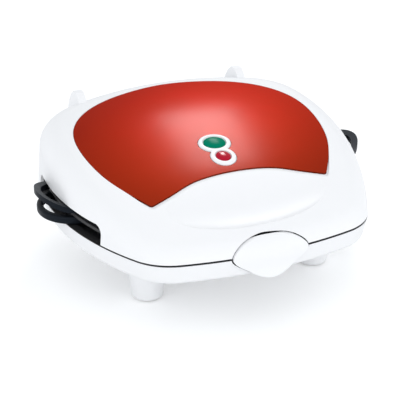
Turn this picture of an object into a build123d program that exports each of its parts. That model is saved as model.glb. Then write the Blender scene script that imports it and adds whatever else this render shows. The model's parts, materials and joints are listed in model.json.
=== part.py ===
"""Sandwich and waffle maker: a hinged lid over a footed base, with two removable plates.

Millimetres. +X is to the right of a person in front, +Y to the back and +Z up. The origin is on
the table, at the middle of the whole part. The lid is closed.
"""
import os
from math import radians, tan

from build123d import *

os.makedirs("parts", exist_ok=True)

# The outline that lid and base share, at their seam
HALF_WIDTH = 119.5
FRONT_REACH = 115.0
REAR_REACH = 110.0
END_ARC_RADIUS = 294.0
SIDE_ARC_RADIUS = 209.0
SIDE_ARC_CENTRE_Y = 15.5
FRONT_CORNER_RADIUS = 39.0
REAR_CORNER_RADIUS = 52.0
WALL = 2.5

# Heights
BASE_BOTTOM_Z = 37.0
BASE_RIM_Z = 52.5
LID_RIM_Z = 53.9
PARTING_Z = 62.0
PLATE_GAP = 0.4

# The lid's crown
CROWN_TOP = 107.8
CROWN_TOP_Y = 75.0
CROWN_RADIUS_Y = 400.0
CROWN_RADIUS_X = 709.0
LID_TAPER = 4.5
SHOULDER_RADIUS = 19.0

# The finger scoop in front of the red panel
SCOOP_Y = -71.8
SCOOP_Z = 93.0
SCOOP_TILT = 36.0
SCOOP_SEMI_X = 84.0
SCOOP_SEMI_LONG = 37.5
SCOOP_SEMI_SHORT = 20.0

# The openings in the lid's sides, where the plates' ears come out
OPENING_CENTRE_Y = -4.0
OPENING_HALF_LENGTH = 53.0
OPENING_TOP_Z = 68.0

# The red panel and the two lights
PANEL_THICKNESS = 1.2
PANEL_SIDE = [(0, 87.2), (28, 83.8), (55.7, 75.3), (77.7, 60.8), (91.8, 39.5), (96.0, 16.0),
              (94.2, -9.0), (88.2, -30.8), (80.3, -47.0), (69.8, -63.2)]
PANEL_ARCH = [(69.8, -63.2), (51.0, -57.4), (32.6, -51.0), (15.8, -48.6), (0, -48.0)]
GREEN_Y = -15.75
GREEN_SIZE = (17.0, 14.3)
RED_Y = -32.1
RED_RADIUS = 5.6
BEZEL_REAR_SIZE = (25.2, 21.0)
BEZEL_FRONT_RADIUS = 9.7
BEZEL_PROUD = 1.0
LENS_PROUD = 1.7
LENS_DEPTH = 4.2

# Feet
FOOT_X = 68.25
FOOT_Y = 48.3
FOOT_TOP_RADIUS = 15.2
FOOT_LOW_RADIUS = 11.6
PAD_RADIUS = 8.0

# Hinge
HINGE_Y = REAR_REACH + 3.9
HINGE_Z = 53.2
KNUCKLE_RADIUS = 3.6
KNUCKLE_X = 48.0
LID_KNUCKLE_LENGTH = 7.6
BASE_KNUCKLE_LENGTH = 7.8
KNUCKLE_GAP = 0.4
PIN_RADIUS = 1.5
RUNNING_CLEARANCE = 0.06

# Two fins at the back of the lid, which the part stands on when it is stored upright
FIN_X = 68.4
FIN_WIDTH = 6.6
FIN_PROFILE = [(80, 99), (84.5, 106), (89.5, 110.4), (96, 110.4), (102.5, 105.5), (108, 98.5), (112, 90), (112, 80),
               (108, 76), (90, 76)]

# Latch
LATCH_PIVOT_Y = 10.0 - FRONT_REACH
LATCH_PIVOT_Z = 57.4
LATCH_HALF_WIDTH = 29.0
LATCH_CENTRE_Z = 49.8
LATCH_HALF_HEIGHT = 14.5
LATCH_GAP = 0.9
LATCH_LOWER_GAP = 1.3
LATCH_LUG_X = 16.0
# Right half of the latch's outline, as shares of its half width and half height
LATCH_EDGE = [(0.0, 1.0), (0.48, 0.91), (0.79, 0.68), (1.0, 0.16), (0.88, -0.15), (0.64, -0.47), (0.38, -0.80),
              (0.0, -1.0)]

# Plates
PLATE_X = 200.0
PLATE_Y = 132.0
PLATE_CORNER = 16.0
PLATE_RIM = 3.0
POCKET_X = 82.0
POCKET_Y = 108.0
POCKET_OFFSET = 45.5
POCKET_DEPTH = 8.0
POCKET_TAPER = 32.0
PLATE_SKIN = 2.3
EAR_Y = 8.0
LOWER_EAR_REACH = 131.3
UPPER_EAR_REACH = 132.8
EAR_HALF_LENGTH = 29.0
EAR_BAR = 4.8

# Frames that carry the plates
BASE_FRAME_TOP = 51.0
BASE_FRAME_THICKNESS = 2.4
LID_FRAME_BOTTOM = 60.2
LID_FRAME_THICKNESS = 2.4
FIT = 0.3

# Thin lip of the base's frame, which lies on the base's rim and makes the seam dark
LIP_THICKNESS = 0.5
LIP_SETBACK = 0.25
LIP_INNER_INSET = 6.5
LIP_REAR_NOTCH = 2 * KNUCKLE_X + 24

# Screws
SCREW_RADIUS = 1.4
BOSS_RADIUS = 4.0
SCREW_FRONT_X = HALF_WIDTH - 36.5
SCREW_REAR_X = HALF_WIDTH - 40.5
BASE_SCREW_FRONT_Y = -PLATE_Y / 2 - 9.5
LID_SCREW_FRONT_Y = -PLATE_Y / 2 - 7.0
SCREW_REAR_Y = PLATE_Y / 2 + 11.0
BASE_SCREWS = [(-SCREW_FRONT_X, BASE_SCREW_FRONT_Y), (SCREW_FRONT_X, BASE_SCREW_FRONT_Y),
               (-SCREW_REAR_X, SCREW_REAR_Y), (SCREW_REAR_X, SCREW_REAR_Y)]
LID_SCREWS = [(-SCREW_FRONT_X, LID_SCREW_FRONT_Y), (SCREW_FRONT_X, LID_SCREW_FRONT_Y),
              (-SCREW_REAR_X, SCREW_REAR_Y), (SCREW_REAR_X, SCREW_REAR_Y)]

# Cable gland in the back of the base
GLAND_Z = 45.7

# Heating elements
ELEMENT_RADIUS = 3.0
ELEMENT_X = 72.0
ELEMENT_Y = 38.0
ELEMENT_END_X = 15.0
LOWER_ELEMENT_END_Y = 54.0
UPPER_ELEMENT_END_Y = 45.2
LOWER_ELEMENT_Z = 47.3
UPPER_ELEMENT_Z = 75.6


def outline(inset=0.0):
    """Plan outline of lid and base, drawn inset by a distance, on the ground plane."""
    with BuildSketch() as plan:
        with Locations((0, END_ARC_RADIUS - FRONT_REACH)):
            Circle(END_ARC_RADIUS - inset)
        with Locations((0, REAR_REACH - END_ARC_RADIUS)):
            Circle(END_ARC_RADIUS - inset, mode=Mode.INTERSECT)
        for side in (-1, 1):
            with Locations((side * (HALF_WIDTH - SIDE_ARC_RADIUS), SIDE_ARC_CENTRE_Y)):
                Circle(SIDE_ARC_RADIUS - inset, mode=Mode.INTERSECT)
        fillet(plan.vertices().group_by(Axis.Y)[0], FRONT_CORNER_RADIUS - inset)
        fillet(plan.vertices().group_by(Axis.Y)[-1], REAR_CORNER_RADIUS - inset)
    return plan.sketch


def dome(inset=0.0):
    """Everything under the crown of the lid, with the crown's surface inset by a distance."""
    axis = Axis((0, 0, CROWN_TOP - CROWN_RADIUS_X), (0, 1, 0))
    with BuildPart() as cap:
        with BuildSketch(Plane.YZ):
            with Locations((CROWN_TOP_Y, CROWN_TOP - CROWN_RADIUS_Y)):
                Circle(CROWN_RADIUS_Y - inset)
            with Locations((0, 10)):
                Rectangle(320, 150, align=(Align.CENTER, Align.MIN), mode=Mode.INTERSECT)
        revolve(axis=axis, revolution_arc=26)
    return cap.part.rotate(axis, -13)


def lid_form(inset=0.0):
    """Full outer form of the lid, from under its rim to the crown, inset by a distance."""
    start = 30.0
    spread = (LID_RIM_Z - start) * tan(radians(LID_TAPER))
    with BuildPart() as form:
        with BuildSketch(Plane.XY.offset(start)):
            add(outline(inset - spread))
        extrude(amount=100, taper=LID_TAPER)
        add(dome(inset), mode=Mode.INTERSECT)
        fillet(form.faces().sort_by(Axis.Z)[-1].edges(), SHOULDER_RADIUS - inset)
    return form.part


def scoop(grow=0.0):
    """The hollow in front of the panel, as a tilted egg, grown by a distance."""
    size = (SCOOP_SEMI_X + grow, SCOOP_SEMI_LONG + grow, SCOOP_SEMI_SHORT + grow)
    return Pos(0, SCOOP_Y, SCOOP_Z) * Rot(SCOOP_TILT, 0, 0) * scale(Sphere(1), by=size)


def panel_outline(forward=0.0):
    """Outline of the red panel, with its arched front edge moved forward by a distance."""
    arch = [(x, y - forward) for x, y in PANEL_ARCH]
    side = PANEL_SIDE[:-1] + [arch[0]]
    with BuildSketch() as plan:
        with BuildLine():
            Spline(side, tangents=((1, -0.02), (-0.5, -0.8)))
            Spline(arch, tangents=((-1, 0.3), (-1, 0)))
            Line((0, arch[-1][1]), side[0])
        make_face()
        mirror(about=Plane.YZ)
        fillet(plan.vertices().group_by(Axis.Y)[0], 3.0)
    return plan.sketch


def light_outline(grow=0.0):
    """Figure of eight around the two lights, grown by a distance."""
    with BuildSketch() as plan:
        with Locations((0, GREEN_Y)):
            Ellipse(BEZEL_REAR_SIZE[0] / 2 + grow, BEZEL_REAR_SIZE[1] / 2 + grow)
        with Locations((0, RED_Y)):
            Circle(BEZEL_FRONT_RADIUS + grow)
    return plan.sketch


def green_outline(grow=0.0):
    """Oval of the rear light, grown by a distance."""
    with BuildSketch() as plan:
        with Locations((0, GREEN_Y)):
            Ellipse(GREEN_SIZE[0] / 2 + grow, GREEN_SIZE[1] / 2 + grow)
    return plan.sketch


def red_outline(grow=0.0):
    """Circle of the front light, grown by a distance."""
    with BuildSketch() as plan:
        with Locations((0, RED_Y)):
            Circle(RED_RADIUS + grow)
    return plan.sketch


def upright(plan, low=60.0, high=125.0):
    """A plan outline stood up between two heights."""
    with BuildPart() as column:
        with BuildSketch(Plane.XY.offset(low)):
            add(plan)
        extrude(amount=high - low)
    return column.part


def latch_oval(grow=0.0):
    """The latch's outline seen from the front, run through the front of the part."""
    wide = LATCH_HALF_WIDTH + grow
    high = LATCH_HALF_HEIGHT + grow
    right = [(x * wide, LATCH_CENTRE_Z + z * high) for x, z in LATCH_EDGE]
    left = [(-x, z) for x, z in right[-2:0:-1]]
    with BuildPart() as oval:
        with BuildSketch(Plane.XZ.offset(FRONT_REACH - 25)):
            with BuildLine():
                Spline(right + left, periodic=True)
            make_face()
        extrude(amount=40)
    return oval.part


crown_band = dome(0) - dome(PANEL_THICKNESS)

# Lid shell
lid_cavity = lid_form(WALL) - scoop(WALL)

lid_outside = lid_form() - scoop()

with BuildPart() as lid_blank:
    add(lid_outside)
    split(bisect_by=Plane.XY.offset(LID_RIM_Z))
    with BuildSketch(Plane.YZ.offset(FIN_X - FIN_WIDTH / 2)):
        with BuildLine():
            Polyline(FIN_PROFILE, close=True)
        make_face()
    extrude(amount=FIN_WIDTH)
    with BuildSketch(Plane.YZ.offset(-FIN_X - FIN_WIDTH / 2)):
        with BuildLine():
            Polyline(FIN_PROFILE, close=True)
        make_face()
    extrude(amount=FIN_WIDTH)
    add(lid_cavity, mode=Mode.SUBTRACT)

with BuildPart() as lid_bosses:
    with Locations(*[(x, y, LID_FRAME_BOTTOM + LID_FRAME_THICKNESS) for x, y in LID_SCREWS]):
        Cylinder(BOSS_RADIUS, 40, align=(Align.CENTER, Align.CENTER, Align.MIN))
    with Locations((-21, -22, 85.2), (21, -22, 85.2)):
        Cylinder(2.5, 20, align=(Align.CENTER, Align.CENTER, Align.MIN))
    add(lid_form(1.0), mode=Mode.INTERSECT)

with BuildPart() as lid_shell:
    add(lid_blank.part)
    add(lid_bosses.part)
    with Locations(*[(x, y, LID_FRAME_BOTTOM) for x, y in LID_SCREWS]):
        Cylinder(SCREW_RADIUS, 9.5, align=(Align.CENTER, Align.CENTER, Align.MIN), mode=Mode.SUBTRACT)
    with BuildSketch(Plane.YZ.offset(100)) as mouth:
        with Locations((OPENING_CENTRE_Y, OPENING_TOP_Z - 15)):
            RectangleRounded(2 * OPENING_HALF_LENGTH, 30, 7)
    extrude(amount=30, mode=Mode.SUBTRACT)
    with BuildSketch(Plane.YZ.offset(-130)):
        add(mouth.sketch_local)
    extrude(amount=30, mode=Mode.SUBTRACT)
    add(upright(panel_outline(3.0)) & crown_band, mode=Mode.SUBTRACT)
    add(upright(green_outline(0.15)), mode=Mode.SUBTRACT)
    add(upright(red_outline(0.15)), mode=Mode.SUBTRACT)
    add(latch_oval(LATCH_GAP), mode=Mode.SUBTRACT)
    with BuildSketch(Plane.YZ.offset(KNUCKLE_X - LID_KNUCKLE_LENGTH / 2)) as lid_arm:
        with Locations((HINGE_Y, HINGE_Z)):
            Circle(KNUCKLE_RADIUS)
        with BuildLine():
            Polyline((HINGE_Y - 9.4, 54.5), (HINGE_Y - 3.4, 53.2), (HINGE_Y + 2.5, 55.6), (HINGE_Y - 7.2, 66.0),
                     (HINGE_Y - 10.0, 66.0), close=True)
        make_face()
        with Locations((HINGE_Y, HINGE_Z)):
            Circle(PIN_RADIUS + RUNNING_CLEARANCE, mode=Mode.SUBTRACT)
    extrude(amount=LID_KNUCKLE_LENGTH)
    with BuildSketch(Plane.YZ.offset(-KNUCKLE_X - LID_KNUCKLE_LENGTH / 2)):
        add(lid_arm.sketch_local)
    extrude(amount=LID_KNUCKLE_LENGTH)
    for side in (-1, 1):
        with BuildSketch(Plane.YZ.offset(side * (LATCH_LUG_X + 3.4) - 1.4)):
            with BuildLine():
                Polyline((LATCH_PIVOT_Y - 2.2, 55.9), (LATCH_PIVOT_Y - 2.2, 58.6), (LATCH_PIVOT_Y + 0.4, 61.6),
                         (LATCH_PIVOT_Y + 1.4, 64.2), (LATCH_PIVOT_Y + 5.4, 65.9), (LATCH_PIVOT_Y + 2.4, 56.4),
                         (LATCH_PIVOT_Y + 0.8, 55.2), close=True)
            make_face()
            with Locations((LATCH_PIVOT_Y, LATCH_PIVOT_Z)):
                Circle(PIN_RADIUS, mode=Mode.SUBTRACT)
        extrude(amount=2.8)
lid_shell.part.label = "lid_shell"

# Red panel and lights
with BuildPart() as top_panel:
    add(upright(scale(panel_outline(), 0.9975)))
    add(dome(0.1) - dome(PANEL_THICKNESS), mode=Mode.INTERSECT)
    add(upright(light_outline(0.4)), mode=Mode.SUBTRACT)
top_panel.part.label = "top_panel"

with BuildPart() as indicator_bezel:
    add(upright(light_outline()))
    add(dome(-BEZEL_PROUD) - dome(PANEL_THICKNESS), mode=Mode.INTERSECT)
    add(upright(green_outline(0.1)), mode=Mode.SUBTRACT)
    add(upright(red_outline(0.1)), mode=Mode.SUBTRACT)
indicator_bezel.part.label = "indicator_bezel"

with BuildPart() as green_lens:
    add(upright(green_outline()))
    add(dome(-LENS_PROUD) - dome(LENS_DEPTH), mode=Mode.INTERSECT)
    fillet(green_lens.faces().sort_by(Axis.Z)[-1].edges(), 0.8)
green_lens.part.label = "green_lens"

with BuildPart() as red_lens:
    add(upright(red_outline()))
    add(dome(-LENS_PROUD) - dome(LENS_DEPTH), mode=Mode.INTERSECT)
    fillet(red_lens.faces().sort_by(Axis.Z)[-1].edges(), 0.8)
red_lens.part.label = "red_lens"

with BuildPart() as lamp_holder:
    with Locations((0, -23, 83.0)):
        Box(50, 34, 2.0, align=(Align.CENTER, Align.CENTER, Align.MIN))
    with Locations((0, GREEN_Y, 85.0), (0, RED_Y, 85.0)):
        Cylinder(4.4, 2.0, align=(Align.CENTER, Align.CENTER, Align.MIN))
    with Locations((0, GREEN_Y, 86.0), (0, RED_Y, 86.0)):
        Cylinder(3.0, 1.0, align=(Align.CENTER, Align.CENTER, Align.MIN), mode=Mode.SUBTRACT)
lamp_holder.part.label = "lamp_holder"

with BuildPart() as neon_lamps:
    with Locations((0, GREEN_Y, 86.05)):
        Cylinder(2.6, 4.0, align=(Align.CENTER, Align.CENTER, Align.MIN))
    with Locations((0, RED_Y, 86.05)):
        Cylinder(2.6, 1.2, align=(Align.CENTER, Align.CENTER, Align.MIN))
neon_lamps.part.label = "neon_lamps"

# Base shell with its feet
base_lean = 0.22

with BuildPart() as base_cavity:
    with BuildSketch(Plane.XY.offset(BASE_BOTTOM_Z + WALL)):
        add(outline(WALL + (BASE_RIM_Z - BASE_BOTTOM_Z - WALL) * base_lean))
    with BuildSketch(Plane.XY.offset(BASE_RIM_Z + 1)):
        add(outline(WALL - base_lean))
    loft(ruled=True)

with BuildPart() as base_shell:
    with BuildSketch(Plane.XY.offset(BASE_BOTTOM_Z)):
        add(outline((BASE_RIM_Z - BASE_BOTTOM_Z) * base_lean))
    with BuildSketch(Plane.XY.offset(BASE_RIM_Z)):
        add(outline())
    loft(ruled=True)
    fillet(base_shell.faces().sort_by(Axis.Z)[0].edges(), 3.6)
    with Locations((-FOOT_X, -FOOT_Y, 1.2), (FOOT_X, -FOOT_Y, 1.2), (-FOOT_X, FOOT_Y, 1.2), (FOOT_X, FOOT_Y, 1.2)):
        Cone(FOOT_LOW_RADIUS, FOOT_TOP_RADIUS, 36.0, align=(Align.CENTER, Align.CENTER, Align.MIN))
    fillet(base_shell.faces().group_by(Axis.Z)[0].edges(), 1.6)
    add(base_cavity.part, mode=Mode.SUBTRACT)
    with Locations((-FOOT_X, -FOOT_Y, 5.5), (FOOT_X, -FOOT_Y, 5.5), (-FOOT_X, FOOT_Y, 5.5), (FOOT_X, FOOT_Y, 5.5)):
        Cone(FOOT_LOW_RADIUS - 2.0, FOOT_TOP_RADIUS - 2.2, 34.5, align=(Align.CENTER, Align.CENTER, Align.MIN),
             mode=Mode.SUBTRACT)
    with Locations((-FOOT_X, -FOOT_Y, 0), (FOOT_X, -FOOT_Y, 0), (-FOOT_X, FOOT_Y, 0), (FOOT_X, FOOT_Y, 0)):
        Cylinder(PAD_RADIUS, 3.2, align=(Align.CENTER, Align.CENTER, Align.MIN), mode=Mode.SUBTRACT)
    with Locations(*[(x, y, BASE_BOTTOM_Z) for x, y in BASE_SCREWS]):
        Cylinder(SCREW_RADIUS + 0.2, 3.0, align=(Align.CENTER, Align.CENTER, Align.MIN), mode=Mode.SUBTRACT)
    add(latch_oval(LATCH_LOWER_GAP), mode=Mode.SUBTRACT)
    with Locations((0, REAR_REACH - 4, GLAND_Z)):
        Cylinder(5.0, 12, rotation=(90, 0, 0), mode=Mode.SUBTRACT)
    with BuildSketch(Plane.YZ.offset(KNUCKLE_X + LID_KNUCKLE_LENGTH / 2 + KNUCKLE_GAP)) as base_arm:
        with Locations((HINGE_Y, HINGE_Z)):
            Circle(KNUCKLE_RADIUS)
        with BuildLine():
            Polyline((HINGE_Y - 10.9, 41.0), (HINGE_Y - 9.5, 51.8), (HINGE_Y - 3.3, 54.6), (HINGE_Y + 3.0, 51.2),
                     (HINGE_Y - 0.9, 46.5), close=True)
        make_face()
        with Locations((HINGE_Y, HINGE_Z)):
            Circle(PIN_RADIUS, mode=Mode.SUBTRACT)
    extrude(amount=BASE_KNUCKLE_LENGTH)
    for start in (KNUCKLE_X - LID_KNUCKLE_LENGTH / 2 - KNUCKLE_GAP - BASE_KNUCKLE_LENGTH,
                  -KNUCKLE_X + LID_KNUCKLE_LENGTH / 2 + KNUCKLE_GAP,
                  -KNUCKLE_X - LID_KNUCKLE_LENGTH / 2 - KNUCKLE_GAP - BASE_KNUCKLE_LENGTH):
        with BuildSketch(Plane.YZ.offset(start)):
            add(base_arm.sketch_local)
        extrude(amount=BASE_KNUCKLE_LENGTH)
base_shell.part.label = "base_shell"

with BuildPart() as foot_pads:
    with Locations((-FOOT_X, -FOOT_Y, 0), (FOOT_X, -FOOT_Y, 0), (-FOOT_X, FOOT_Y, 0), (FOOT_X, FOOT_Y, 0)):
        Cylinder(PAD_RADIUS, 3.2, align=(Align.CENTER, Align.CENTER, Align.MIN))
    chamfer(foot_pads.faces().group_by(Axis.Z)[0].edges(), 0.5)
foot_pads.part.label = "foot_pads"

with BuildPart() as hinge_pins:
    with Locations((-KNUCKLE_X, HINGE_Y, HINGE_Z), (KNUCKLE_X, HINGE_Y, HINGE_Z)):
        Cylinder(PIN_RADIUS, LID_KNUCKLE_LENGTH + 2 * KNUCKLE_GAP + 2 * BASE_KNUCKLE_LENGTH, rotation=(0, 90, 0))
hinge_pins.part.label = "hinge_pins"

with BuildPart() as cord_gland:
    with Locations(Location((0, REAR_REACH - 7.4, GLAND_Z), (-90, 0, 0))):
        Cylinder(6.0, 2.0, align=(Align.CENTER, Align.CENTER, Align.MIN))
        Cylinder(4.9, 9.0, align=(Align.CENTER, Align.CENTER, Align.MIN))
        Cylinder(3.2, 12.0, align=(Align.CENTER, Align.CENTER, Align.MIN), mode=Mode.SUBTRACT)
    with Locations(Location((0, REAR_REACH - 0.15, GLAND_Z), (-90, 0, 0))):
        Cylinder(6.0, 2.8, align=(Align.CENTER, Align.CENTER, Align.MIN))
        Cylinder(3.2, 6.0, align=(Align.CENTER, Align.CENTER, Align.MIN), mode=Mode.SUBTRACT)
cord_gland.part.label = "cord_gland"

# Frames around the plates
with BuildPart() as base_frame:
    with BuildSketch(Plane.XY.offset(BASE_FRAME_TOP - BASE_FRAME_THICKNESS)):
        add(outline(WALL + 1.2))
        RectangleRounded(PLATE_X - 12, PLATE_Y - 12, PLATE_CORNER, mode=Mode.SUBTRACT)
        with Locations((0, -FRONT_REACH)):
            Rectangle(2 * LATCH_HALF_WIDTH + 8, 20, mode=Mode.SUBTRACT)
        with Locations((0, REAR_REACH - 2)):
            Rectangle(16, 14, mode=Mode.SUBTRACT)
        with Locations((0, -PLATE_Y / 2 - 9.9)):
            Rectangle(8.6, 8.6, mode=Mode.SUBTRACT)
    extrude(amount=BASE_FRAME_THICKNESS)
    with BuildSketch(Plane.XY.offset(BASE_FRAME_TOP)):
        add(outline(WALL + 1.2))
        add(outline(LIP_INNER_INSET), mode=Mode.SUBTRACT)
        with Locations((0, -FRONT_REACH)):
            Rectangle(2 * LATCH_HALF_WIDTH + 8, 30, mode=Mode.SUBTRACT)
        with Locations((0, REAR_REACH)):
            Rectangle(LIP_REAR_NOTCH, 24, mode=Mode.SUBTRACT)
    extrude(amount=BASE_RIM_Z - BASE_FRAME_TOP)
    with BuildSketch(Plane.XY.offset(BASE_RIM_Z)):
        add(outline(LIP_SETBACK))
        add(outline(LIP_INNER_INSET), mode=Mode.SUBTRACT)
        with Locations((0, -FRONT_REACH)):
            Rectangle(2 * (LATCH_HALF_WIDTH + LATCH_LOWER_GAP), 30, mode=Mode.SUBTRACT)
        with Locations((0, REAR_REACH)):
            Rectangle(LIP_REAR_NOTCH, 24, mode=Mode.SUBTRACT)
    extrude(amount=LIP_THICKNESS)
    with Locations(*[(x, y, BASE_BOTTOM_Z + WALL) for x, y in BASE_SCREWS]):
        Cylinder(BOSS_RADIUS, BASE_FRAME_TOP - BASE_BOTTOM_Z - WALL - 0.6, align=(Align.CENTER, Align.CENTER, Align.MIN))
    with Locations(*[(x, y, BASE_BOTTOM_Z + WALL) for x, y in BASE_SCREWS]):
        Cylinder(SCREW_RADIUS, 9.5, align=(Align.CENTER, Align.CENTER, Align.MIN), mode=Mode.SUBTRACT)
base_frame.part.label = "base_frame"

with BuildPart() as lid_frame:
    with BuildSketch(Plane.XY.offset(LID_FRAME_BOTTOM)):
        add(outline(WALL + 1.5))
        with Locations((0, 7 - FRONT_REACH)):
            Rectangle(2 * LATCH_HALF_WIDTH + 10, 20, mode=Mode.SUBTRACT)
    extrude(amount=LID_FRAME_THICKNESS)
    add(lid_form(WALL + FIT), mode=Mode.INTERSECT)
    with BuildSketch(Plane.XY.offset(LID_FRAME_BOTTOM)):
        RectangleRounded(PLATE_X + 4.8, PLATE_Y + 4.8, PLATE_CORNER + 2.4)
    extrude(amount=6.4)
    with BuildSketch(Plane.XY.offset(LID_FRAME_BOTTOM)):
        RectangleRounded(PLATE_X + 0.8, PLATE_Y + 0.8, PLATE_CORNER + 0.4)
    extrude(amount=5.2, mode=Mode.SUBTRACT)
    with BuildSketch(Plane.XY.offset(LID_FRAME_BOTTOM)):
        RectangleRounded(PLATE_X - 14, PLATE_Y - 14, PLATE_CORNER)
    extrude(amount=10, mode=Mode.SUBTRACT)
    with Locations((-PLATE_X / 2 - 5, EAR_Y, LID_FRAME_BOTTOM + LID_FRAME_THICKNESS),
                   (PLATE_X / 2 + 5, EAR_Y, LID_FRAME_BOTTOM + LID_FRAME_THICKNESS)):
        Box(20, 2 * EAR_HALF_LENGTH + 4, 6, align=(Align.CENTER, Align.CENTER, Align.MIN), mode=Mode.SUBTRACT)
    with Locations((0, -PLATE_Y / 2 - 1.4, LID_FRAME_BOTTOM + LID_FRAME_THICKNESS)):
        Box(17, 4, 2.0, align=(Align.CENTER, Align.CENTER, Align.MIN), mode=Mode.SUBTRACT)
    with Locations((0, -PLATE_Y / 2 - 10.9, LID_FRAME_BOTTOM - 1)):
        Box(8.6, 8.6, 5, align=(Align.CENTER, Align.CENTER, Align.MIN), mode=Mode.SUBTRACT)
    with Locations(*[(x, y, LID_FRAME_BOTTOM - 1) for x, y in LID_SCREWS]):
        Cylinder(SCREW_RADIUS + 0.2, 5, align=(Align.CENTER, Align.CENTER, Align.MIN), mode=Mode.SUBTRACT)
lid_frame.part.label = "lid_frame"

with BuildPart() as base_screws:
    with Locations(*[(x, y, BASE_BOTTOM_Z - 1.9) for x, y in BASE_SCREWS]):
        Cylinder(2.9, 1.9, align=(Align.CENTER, Align.CENTER, Align.MIN))
        Cylinder(SCREW_RADIUS - 0.05, 12.5, align=(Align.CENTER, Align.CENTER, Align.MIN))
        with Locations((0, 0, 0)):
            Box(3.6, 0.8, 0.8, align=(Align.CENTER, Align.CENTER, Align.MIN), mode=Mode.SUBTRACT)
            Box(0.8, 3.6, 0.8, align=(Align.CENTER, Align.CENTER, Align.MIN), mode=Mode.SUBTRACT)
base_screws.part.label = "base_screws"

with BuildPart() as lid_screws:
    with Locations(*[(x, y, LID_FRAME_BOTTOM - 1.9) for x, y in LID_SCREWS]):
        Cylinder(2.9, 1.9, align=(Align.CENTER, Align.CENTER, Align.MIN))
        Cylinder(SCREW_RADIUS - 0.05, 11.0, align=(Align.CENTER, Align.CENTER, Align.MIN))
        with Locations((0, 0, 0)):
            Box(3.6, 0.8, 0.8, align=(Align.CENTER, Align.CENTER, Align.MIN), mode=Mode.SUBTRACT)
            Box(0.8, 3.6, 0.8, align=(Align.CENTER, Align.CENTER, Align.MIN), mode=Mode.SUBTRACT)
lid_screws.part.label = "lid_screws"

# Plates
plate_top = PARTING_Z - PLATE_GAP / 2

with BuildPart() as pockets:
    with BuildSketch(Plane.XY.offset(plate_top)):
        with Locations((-POCKET_OFFSET, 0), (POCKET_OFFSET, 0)):
            RectangleRounded(POCKET_X, POCKET_Y, 13)
    extrude(amount=-POCKET_DEPTH, taper=POCKET_TAPER)

with BuildPart() as ridges:
    for side in (-1, 1):
        with BuildSketch(Plane(origin=(side * POCKET_OFFSET, 0, 0), x_dir=(-POCKET_Y, side * POCKET_X, 0),
                               z_dir=(side * POCKET_X, POCKET_Y, 0))):
            with BuildLine():
                Polyline((-5.2, plate_top - 9), (5.2, plate_top - 9), (0.9, plate_top - 0.6),
                         (-0.9, plate_top - 0.6), close=True)
            make_face()
        extrude(amount=75, both=True)

pocket_cut = pockets.part - ridges.part

with BuildPart() as plate_body:
    with BuildSketch(Plane.XY.offset(plate_top - PLATE_RIM)):
        RectangleRounded(PLATE_X, PLATE_Y, PLATE_CORNER)
    extrude(amount=PLATE_RIM)
    fillet(plate_body.faces().sort_by(Axis.Z)[-1].edges(), 0.6)
    with BuildSketch(Plane.XY.offset(plate_top - PLATE_RIM)):
        with Locations((-POCKET_OFFSET, 0), (POCKET_OFFSET, 0)):
            RectangleRounded(POCKET_X + 2.6, POCKET_Y + 2.6, 14)
    extrude(amount=-(POCKET_DEPTH + PLATE_SKIN - PLATE_RIM), taper=POCKET_TAPER)
    add(pocket_cut, mode=Mode.SUBTRACT)


def ear(reach, side):
    """Plan of the loop that sticks out at one side of a plate."""
    centre = PLATE_X / 2
    with BuildSketch() as plan:
        with Locations((side * centre, EAR_Y)):
            Ellipse(reach - centre, EAR_HALF_LENGTH)
        with Locations((side * (centre - 20.8), EAR_Y)):
            Rectangle(40, 80, mode=Mode.SUBTRACT)
    with BuildSketch() as hole:
        with Locations((side * centre, EAR_Y)):
            Ellipse(reach - centre - EAR_BAR, EAR_HALF_LENGTH - EAR_BAR)
        with Locations((side * (centre - 28), EAR_Y)):
            Rectangle(80, 80, mode=Mode.SUBTRACT)
    return plan.sketch - hole.sketch


with BuildPart() as lower_ears:
    with BuildSketch(Plane.XY.offset(53.2)):
        add(ear(LOWER_EAR_REACH, -1))
        add(ear(LOWER_EAR_REACH, 1))
    extrude(amount=6.2)
    rims = lower_ears.edges().filter_by(GeomType.ELLIPSE).sort_by(SortBy.LENGTH)
    fillet(rims[-4:], 1.6)

ear_root = PLATE_X / 2
ear_tip = UPPER_EAR_REACH + 1.7

with BuildPart() as upper_ears:
    with BuildSketch(Plane.XY.offset(60)):
        add(ear(UPPER_EAR_REACH, -1))
        add(ear(UPPER_EAR_REACH, 1))
    extrude(amount=20)
    with BuildSketch(Plane.XZ.offset(60)):
        with BuildLine():
            Spline((ear_root, 63.0), (ear_tip - 18.5, 63.0), (ear_tip - 10.5, 65.2), (ear_tip, 70.4),
                   tangents=((1, 0), (1, 0.5)))
            Line((ear_tip, 70.4), (ear_tip, 74.6))
            Spline((ear_tip, 74.6), (ear_tip - 10.5, 69.8), (ear_tip - 18.5, 67.3), (ear_root, 67.2),
                   tangents=((-1, -0.5), (-1, 0)))
            Line((ear_root, 67.2), (ear_root, 63.0))
        make_face()
        mirror(about=Plane.YZ)
    extrude(amount=-120, mode=Mode.INTERSECT)

with BuildPart() as lower_plate:
    add(plate_body.part)
    with BuildSketch(Plane.XY.offset(BASE_FRAME_TOP + 0.2)):
        RectangleRounded(PLATE_X, PLATE_Y, PLATE_CORNER)
        RectangleRounded(PLATE_X - 4.4, PLATE_Y - 4.4, PLATE_CORNER - 2.2, mode=Mode.SUBTRACT)
    extrude(amount=plate_top - PLATE_RIM - BASE_FRAME_TOP - 0.2)
    add(lower_ears.part)
    with Locations((0, -PLATE_Y / 2, 53.4)):
        Box(19, 8, 3.6, align=(Align.CENTER, Align.CENTER, Align.MIN), mode=Mode.SUBTRACT)
lower_plate.part.label = "lower_plate"

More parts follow.
